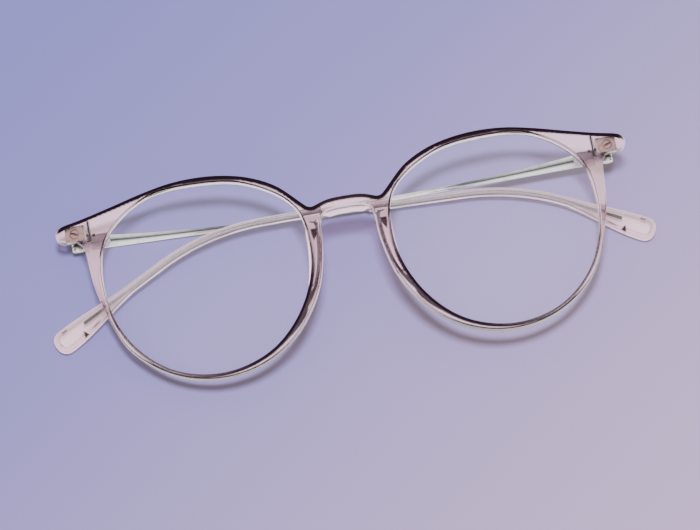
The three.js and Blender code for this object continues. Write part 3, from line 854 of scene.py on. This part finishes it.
def build_fitting(node, name, body, material):
    """A metal fitting with the edges of its CAD solid broken."""
    mesh = frame["nodes"][node].data.copy()
    mesh.name = name
    mesh.materials.clear()
    work = bmesh.new()
    work.from_mesh(mesh)
    bmesh.ops.remove_doubles(work, verts=work.verts, dist=1e-7)
    bmesh.ops.dissolve_limit(work, angle_limit=math.radians(2), verts=work.verts, edges=work.edges)
    sharp = [e for e in work.edges if len(e.link_faces) == 2 and e.calc_face_angle() > math.radians(40)]
    bmesh.ops.bevel(
        work, geom=sharp, offset=HINGE_BEVEL * MM, segments=2, profile=0.5, affect="EDGES", clamp_overlap=True
    )
    bmesh.ops.recalc_face_normals(work, faces=work.faces)
    work.to_mesh(mesh)
    work.free()
    mesh.shade_smooth()
    mesh.set_sharp_from_angle(angle=math.radians(35))
    piece = add_object(name, mesh, material)
    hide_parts(node)
    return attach(piece, body)


ANCHOR_LOW = (63.95, 7.45)
ANCHOR_HIGH = (68.75, 11.25)
ANCHOR_DEPTH = 1.3
ANCHOR_TEETH = 22
RIVET = (66.5, 9.3)
RIVET_RADIUS = 1.15
RIVET_SLOT = (0.8, 0.24)
SLOT_SLOPE = 0.45
SLOT_DEPTH = 0.3
TOOTH_DEPTH = 0.045
KNURL = (9, 3, 0.6, 0.35)  # its waves along x and y per mm, where a ridge starts, and the painted shade on a ridge


def anchor_outline():
    """A rectangle with a knurled edge, as a hot-set anchor has to grip the plastic."""
    low, high = np.array(ANCHOR_LOW), np.array(ANCHOR_HIGH)
    middle, half = (low + high) / 2, (high - low) / 2
    angles = np.linspace(0, 2 * math.pi, 8 * ANCHOR_TEETH, endpoint=False)
    square = np.stack([np.cos(angles), np.sin(angles)], axis=1)
    square = np.sign(square) * np.abs(square) ** 0.35
    tooth = 1 - TOOTH_DEPTH * (1 + np.cos(ANCHOR_TEETH * angles))
    return middle + half * square * tooth[:, None]


def build_anchor_cover(side, material):
    """The face of the anchor under the plastic: knurled round its edge, with a slotted rivet."""
    outline = anchor_outline()
    middle = np.array(RIVET)
    angles = np.linspace(0, 2 * math.pi, len(outline), endpoint=False)
    ring = np.stack([np.cos(angles), np.sin(angles)], axis=1)
    rows = [(outline, 0.7), (outline, 0.08), (middle + (outline - middle) * 0.96, 0.0)]
    rows += [(middle + (outline - middle) * 0.7, 0.0), (middle + ring * RIVET_RADIUS * 1.12, 0.0)]
    rows += [(middle + ring * RIVET_RADIUS * 1.02, 0.16), (middle + ring * RIVET_RADIUS * 0.98, 0.1)]
    rows += [(middle + ring * RIVET_RADIUS * 0.9, -0.14)]
    rows += [(middle + ring * RIVET_RADIUS * share, -0.2) for share in (0.75, 0.6, 0.45, 0.3, 0.16, 0.05)]
    wave_x, wave_y, ridge_from, ridge_painted_shade = KNURL
    points, rings, shade = [], [], []
    for loop, down in rows:
        rings.append(range(len(points), len(points) + len(loop)))
        for x, y in loop:
            across, along = x - middle[0], y - middle[1]
            turned = (across + SLOT_SLOPE * along, along - SLOT_SLOPE * across)
            slot = abs(turned[0]) < RIVET_SLOT[0] and abs(turned[1]) < RIVET_SLOT[1] and down < -0.1
            depth = ANCHOR_DEPTH + down + (SLOT_DEPTH if slot else 0)
            points.append((x, y, -depth - wrap_depth(x)))
            # painted shade: stripes for knurl ridges the mesh lacks, a dark side wall, a dark groove round
            # the rivet and a dark slot
            ridge = ridge_painted_shade * (math.sin(wave_x * x + wave_y * y) > ridge_from)
            knurl = 0.75 if down in (0.7, 0.08) else ridge
            shade.append(0.98 if slot else 0.85 if down == 0.16 else knurl)
    faces = []
    for near, far in zip(rings, rings[1:]):
        faces += strip(near, far)
    faces += [tuple(rings[0]), tuple(rings[-1])]
    piece = piece_from(f"{side}_anchor_cover", points, faces, half_matrix(side), material, sharp=35)
    paint(piece, "shade", shade)
    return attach(piece, "front")


# ---- materials ----------------------------------------------------------------------------------
class Nodes:
    """A material's node tree, with short calls to add nodes and link them."""

    def __init__(self, name):
        self.material = bpy.data.materials.new(name)
        self.material.use_nodes = True
        self.tree = self.material.node_tree
        self.tree.nodes.clear()
        self.output = self.tree.nodes.new("ShaderNodeOutputMaterial")

    def add(self, kind, **values):
        node = self.tree.nodes.new("ShaderNode" + kind)
        for name, value in values.items():
            if hasattr(node, name):
                setattr(node, name, value)
            else:
                node.inputs[name.replace("_", " ")].default_value = value
        return node

    def link(self, source, socket):
        self.tree.links.new(source, socket)


def clear_plastic(name, tint, absorb, density):
    """Clear moulded plastic. `shade` is painted shade on its surface: dark bands in place of the dark its
    edges show by refraction. Both it and `turned` block lamps.
    """
    nodes = Nodes(name)
    shader = nodes.add("BsdfPrincipled")
    shader.inputs["Roughness"].default_value = PLASTIC_ROUGHNESS
    shader.inputs["IOR"].default_value = PLASTIC_IOR
    shader.inputs["Base Color"].default_value = (*tint, 1)
    shader.inputs["Transmission Weight"].default_value = 1.0
    noise = nodes.add("TexNoise", Scale=350.0, Detail=3.0)
    place = nodes.add("TexCoord")
    nodes.link(place.outputs["Object"], noise.inputs["Vector"])
    bump = nodes.add("Bump", Strength=0.02, Distance=0.0001)
    nodes.link(noise.outputs["Fac"], bump.inputs["Height"])
    nodes.link(bump.outputs["Normal"], shader.inputs["Normal"])
    # painted shade: a dark matte brown mixed over the clear plastic as `shade` rises
    painted_shade_bsdf = nodes.add("BsdfDiffuse")
    painted_shade_bsdf.inputs["Color"].default_value = (*PAINTED_SHADE_COLOR, 1)
    shade = nodes.add("Attribute", attribute_name="shade")
    painted_shade_mix = nodes.add("MixShader")
    nodes.link(shade.outputs["Fac"], painted_shade_mix.inputs["Fac"])
    nodes.link(shader.outputs["BSDF"], painted_shade_mix.inputs[1])
    nodes.link(painted_shade_bsdf.outputs["BSDF"], painted_shade_mix.inputs[2])
    turned = nodes.add("Attribute", attribute_name="turned")
    dense = nodes.add("Math", operation="MAXIMUM")
    nodes.link(turned.outputs["Fac"], dense.inputs[0])
    nodes.link(shade.outputs["Fac"], dense.inputs[1])
    block = nodes.add("Mix", data_type="RGBA")
    nodes.link(dense.outputs["Value"], block.inputs["Factor"])
    block.inputs["A"].default_value = (*SHADOW_FACE, 1)
    block.inputs["B"].default_value = (*SHADOW_WALL, 1)
    passed = nodes.add("BsdfTransparent")
    nodes.link(block.outputs["Result"], passed.inputs["Color"])
    path = nodes.add("LightPath")
    mix = nodes.add("MixShader")
    nodes.link(path.outputs["Is Shadow Ray"], mix.inputs["Fac"])
    nodes.link(painted_shade_mix.outputs["Shader"], mix.inputs[1])
    nodes.link(passed.outputs["BSDF"], mix.inputs[2])
    nodes.link(mix.outputs["Shader"], nodes.output.inputs["Surface"])
    volume = nodes.add("VolumeAbsorption")
    volume.inputs["Color"].default_value = (*absorb, 1)
    volume.inputs["Density"].default_value = density
    nodes.link(volume.outputs["Volume"], nodes.output.inputs["Volume"])
    return nodes.material


PLASTIC_ROUGHNESS = 0.03
PLASTIC_IOR = 1.49
# the colour of the painted shade on the clear plastic
PAINTED_SHADE_COLOR = (0.014, 0.007, 0.008)
SHADOW_FACE = (0.9, 0.88, 0.86)
SHADOW_WALL = (0.05, 0.045, 0.04)
CRYSTAL = clear_plastic("crystal_plastic", (1.0, 0.955, 0.98), (0.5, 0.14, 0.4), 210.0)
PAD_PLASTIC = clear_plastic("pad_plastic", (1.0, 0.97, 0.985), (0.55, 0.25, 0.45), 50.0)


def brushed_metal(name, color, dark, roughness, grain):
    """Metal with a fine grain in its colour and gloss. `shade` is painted shade that mixes it towards the
    dark colour.
    """
    nodes = Nodes(name)
    shader = nodes.add("BsdfPrincipled")
    shader.inputs["Metallic"].default_value = 1.0
    place = nodes.add("TexCoord")
    noise = nodes.add("TexNoise", Scale=grain, Detail=4.0, Roughness=0.6)
    nodes.link(place.outputs["Object"], noise.inputs["Vector"])
    shade = nodes.add("Attribute", attribute_name="shade")
    mottle = nodes.add("MapRange", From_Min=0.35, From_Max=0.75, To_Min=0.0, To_Max=0.18)
    nodes.link(noise.outputs["Fac"], mottle.inputs["Value"])
    # the colour goes towards the dark one by the grain's mottle or by painted shade, whichever is more
    grain_and_painted_shade = nodes.add("Math", operation="MAXIMUM")
    nodes.link(shade.outputs["Fac"], grain_and_painted_shade.inputs[0])
    nodes.link(mottle.outputs["Result"], grain_and_painted_shade.inputs[1])
    tone = nodes.add("Mix", data_type="RGBA")
    nodes.link(grain_and_painted_shade.outputs["Value"], tone.inputs["Factor"])
    tone.inputs["A"].default_value = (*color, 1)
    tone.inputs["B"].default_value = (*dark, 1)
    nodes.link(tone.outputs["Result"], shader.inputs["Base Color"])
    gloss = nodes.add("MapRange", To_Min=roughness - 0.06, To_Max=roughness + 0.1)
    nodes.link(noise.outputs["Fac"], gloss.inputs["Value"])
    nodes.link(gloss.outputs["Result"], shader.inputs["Roughness"])
    bump = nodes.add("Bump", Strength=0.05, Distance=0.0001)
    nodes.link(noise.outputs["Fac"], bump.inputs["Height"])
    nodes.link(bump.outputs["Normal"], shader.inputs["Normal"])
    nodes.link(shader.outputs["BSDF"], nodes.output.inputs["Surface"])
    return nodes.material


LENS_TINTS = ((0.66, 0.65, 0.7), (0.74, 0.71, 0.74))
LENS_ALPHA = 0.03


def lens_material():
    nodes = Nodes("lens_clear")
    shader = nodes.add("BsdfPrincipled")
    place = nodes.add("TexCoord")
    noise = nodes.add("TexNoise", Scale=60.0, Detail=3.0)
    nodes.link(place.outputs["Object"], noise.inputs["Vector"])
    tint = nodes.add("Mix", data_type="RGBA")
    tint.inputs["A"].default_value = (*LENS_TINTS[0], 1)
    tint.inputs["B"].default_value = (*LENS_TINTS[1], 1)
    nodes.link(noise.outputs["Fac"], tint.inputs["Factor"])
    nodes.link(tint.outputs["Result"], shader.inputs["Base Color"])
    haze = nodes.add("MapRange", To_Min=0.02, To_Max=0.05)
    nodes.link(noise.outputs["Fac"], haze.inputs["Value"])
    nodes.link(haze.outputs["Result"], shader.inputs["Roughness"])
    shader.inputs["Specular IOR Level"].default_value = 0.15
    shader.inputs["Alpha"].default_value = LENS_ALPHA
    nodes.link(shader.outputs["BSDF"], nodes.output.inputs["Surface"])
    return nodes.material


# ---- floor, light and camera ----------------------------------------------------------------------
FLOOR_SIZE = 3.0
FLOOR_GLOW = 0.5
FLOOR_BOUNCE = (1.0, 0.92, 0.70)  # the floor's colour for every ray but the camera's
GLOW_COLOR = (1.0, 0.93, 0.97)
# What the camera sees: lavender to a greyer mauve, from the far left towards the near right.
FLOOR_TOWARDS = (0.575, -0.818, 0)
FLOOR_REACH = 0.11
FLOOR_FAR = (0.207, 0.206, 0.40)
FLOOR_MIDDLE = (0.275, 0.245, 0.428)
FLOOR_MIDDLE_AT = 0.36
FLOOR_NEAR = (0.558, 0.426, 0.498)


def build_floor():
    mesh = bpy.data.meshes.new("floor")
    half = FLOOR_SIZE / 2
    corners = [(-half, -half, 0), (half, -half, 0), (half, half, 0), (-half, half, 0)]
    mesh.from_pydata(corners, [], [(0, 1, 2, 3)])
    nodes = Nodes("floor_paper")
    shader = nodes.add("BsdfPrincipled")
    shader.inputs["Roughness"].default_value = 0.9
    shader.inputs["Specular IOR Level"].default_value = 0.1
    place = nodes.add("TexCoord")
    path = nodes.add("LightPath")
    pick = nodes.add("Mix", data_type="RGBA")
    nodes.link(path.outputs["Is Camera Ray"], pick.inputs["Factor"])
    pick.inputs["A"].default_value = (*FLOOR_BOUNCE, 1)
    ramp = nodes.add("ValToRGB")
    along = nodes.add("MapRange")
    dot = nodes.add("VectorMath", operation="DOT_PRODUCT")
    dot.inputs[1].default_value = FLOOR_TOWARDS
    nodes.link(place.outputs["Object"], dot.inputs[0])
    nodes.link(dot.outputs["Value"], along.inputs["Value"])
    along.inputs["From Min"].default_value = -FLOOR_REACH
    along.inputs["From Max"].default_value = FLOOR_REACH
    nodes.link(along.outputs["Result"], ramp.inputs["Fac"])
    ramp.color_ramp.elements[0].color = (*FLOOR_FAR, 1)
    ramp.color_ramp.elements[1].color = (*FLOOR_NEAR, 1)
    middle = ramp.color_ramp.elements.new(FLOOR_MIDDLE_AT)
    middle.color = (*FLOOR_MIDDLE, 1)
    glow = nodes.add("MapRange", To_Min=FLOOR_GLOW, To_Max=0.0)
    nodes.link(path.outputs["Is Camera Ray"], glow.inputs["Value"])
    nodes.link(glow.outputs["Result"], shader.inputs["Emission Strength"])
    shader.inputs["Emission Color"].default_value = (*GLOW_COLOR, 1)
    nodes.link(ramp.outputs["Color"], pick.inputs["B"])
    nodes.link(pick.outputs["Result"], shader.inputs["Base Color"])
    nodes.link(shader.outputs["BSDF"], nodes.output.inputs["Surface"])
    floor = add_object("floor", mesh, nodes.material)


SKY_LOW = (0.02, 0.018, 0.02)
SKY_HIGH = (1.0, 0.97, 0.94)
SKY_SEEN = (0.62, 0.6, 0.72)
SKY_FILL = (0.75, 0.71, 0.51)
SKY_IN_GLOSS = 1.7
SKY_EDGE = (0.35, 0.8)  # height on the sky where it starts and stops getting brighter
KEY_COLOR = (0.60, 0.585, 1.0)
KEY_SIZE = 0.2
KEY_POWER = 14.6
KEY_PLACE = (0, 0.06, 0.9)


def build_lights():
    """A soft round lamp overhead, and a studio that is bright above and dark low down."""
    world = bpy.data.worlds.new("studio")
    bpy.context.scene.world = world
    world.use_nodes = True
    tree = world.node_tree
    place = tree.nodes.new("ShaderNodeTexCoord")
    separate = tree.nodes.new("ShaderNodeSeparateXYZ")
    height = tree.nodes.new("ShaderNodeMapRange")
    height.interpolation_type = "SMOOTHSTEP"
    height.inputs["From Min"].default_value = SKY_EDGE[0]
    height.inputs["From Max"].default_value = SKY_EDGE[1]
    color = tree.nodes.new("ShaderNodeMix")
    color.data_type = "RGBA"
    color.inputs["A"].default_value = (*SKY_LOW, 1)
    tree.links.new(place.outputs["Generated"], separate.inputs["Vector"])
    tree.links.new(separate.outputs["Z"], height.inputs["Value"])
    tree.links.new(height.outputs["Result"], color.inputs["Factor"])
    background = tree.nodes["Background"]
    path = tree.nodes.new("ShaderNodeLightPath")
    seen = tree.nodes.new("ShaderNodeMix")
    seen.data_type = "RGBA"
    seen.inputs["B"].default_value = (*SKY_SEEN, 1)
    tree.links.new(path.outputs["Is Camera Ray"], seen.inputs["Factor"])
    tree.links.new(color.outputs["Result"], seen.inputs["A"])
    tree.links.new(seen.outputs["Result"], background.inputs["Color"])
    top = tree.nodes.new("ShaderNodeMix")
    top.data_type = "RGBA"
    top.inputs["A"].default_value = (*(SKY_IN_GLOSS * c for c in SKY_HIGH), 1)
    top.inputs["B"].default_value = (*SKY_FILL, 1)
    tree.links.new(path.outputs["Is Diffuse Ray"], top.inputs["Factor"])
    tree.links.new(top.outputs["Result"], color.inputs["B"])
    key = bpy.data.lights.new("key", "AREA")
    key.shape = "DISK"
    key.size = KEY_SIZE
    key.energy = KEY_POWER
    key.color = KEY_COLOR
    lamp = bpy.data.objects.new("key", key)
    lamp.location = KEY_PLACE
    aim = Vector((0, 0, 0)) - Vector(KEY_PLACE)
    lamp.rotation_euler = aim.to_track_quat("-Z", "Y").to_euler()
    lamp.visible_glossy = False
    lamp.visible_transmission = False
    bpy.context.scene.collection.objects.link(lamp)


# The photo's outline fits tilts from -20 to -10 degrees alike, and long and short lenses too, so the tilt
# and the focal length are a choice.
CAMERA_TURN = (-14.0, 1.893, 9.663)  # degrees, of the front as the camera sees it, about x, y then z
CAMERA_SHIFT = (-0.535, 11.193, -582.943)  # the front's origin as the camera sees it
FOCAL_WIDTHS = 2400 / 700  # focal length over the picture's width
SENSOR = 36.0


def build_camera():
    x, y, z = (math.radians(angle) for angle in CAMERA_TURN)
    turn = Matrix.Rotation(z, 4, "Z") @ Matrix.Rotation(y, 4, "Y") @ Matrix.Rotation(x, 4, "X")
    seen = Matrix.Translation(CAMERA_SHIFT) @ turn
    data = bpy.data.cameras.new("camera")
    data.sensor_width = SENSOR
    data.lens = SENSOR * FOCAL_WIDTHS
    data.clip_start = 0.01
    camera = bpy.data.objects.new("camera", data)
    location, rotation, _ = (FRONT @ seen.inverted()).decompose()
    camera.matrix_world = Matrix.LocRotScale(location, rotation, None)
    bpy.context.scene.collection.objects.link(camera)
    bpy.context.scene.camera = camera


build_camera()
build_lights()
build_floor()
build_front(CRYSTAL)
steel = brushed_metal("hinge_steel", (0.66, 0.68, 0.64), (0.1, 0.11, 0.1), 0.3, 1500.0)
bronze = brushed_metal("anchor_bronze", (0.68, 0.5, 0.42), (0.16, 0.09, 0.07), 0.36, 1500.0)
silver = brushed_metal("temple_silver", (0.93, 0.95, 0.92), (0.05, 0.055, 0.05), 0.22, 900.0)
nylon = brushed_metal("washer_nylon", (0.1, 0.1, 0.1), (0.03, 0.03, 0.03), 0.5, 900.0)
clear_lens = lens_material()
for side in sides:
    body = f"temple_{side}"
    build_lens(side, clear_lens)
    build_pad(side, PAD_PLASTIC)
    build_sleeve(side, CRYSTAL)
    build_bar(side, silver)
    build_fitting(f"{side}_front_hinge", f"{side}_anchor_hinge", "front", steel)
    build_anchor_cover(side, bronze)
    build_fitting(f"{side}_temple_hinge", f"{side}_tongue_hinge", body, steel)
    build_fitting(f"{side}_hinge_screw", f"{side}_slotted_screw", "front", silver)
    for level in ("lower", "upper"):
        build_fitting(f"{side}_{level}_washer", f"{side}_{level}_spacer", "front", nylon)
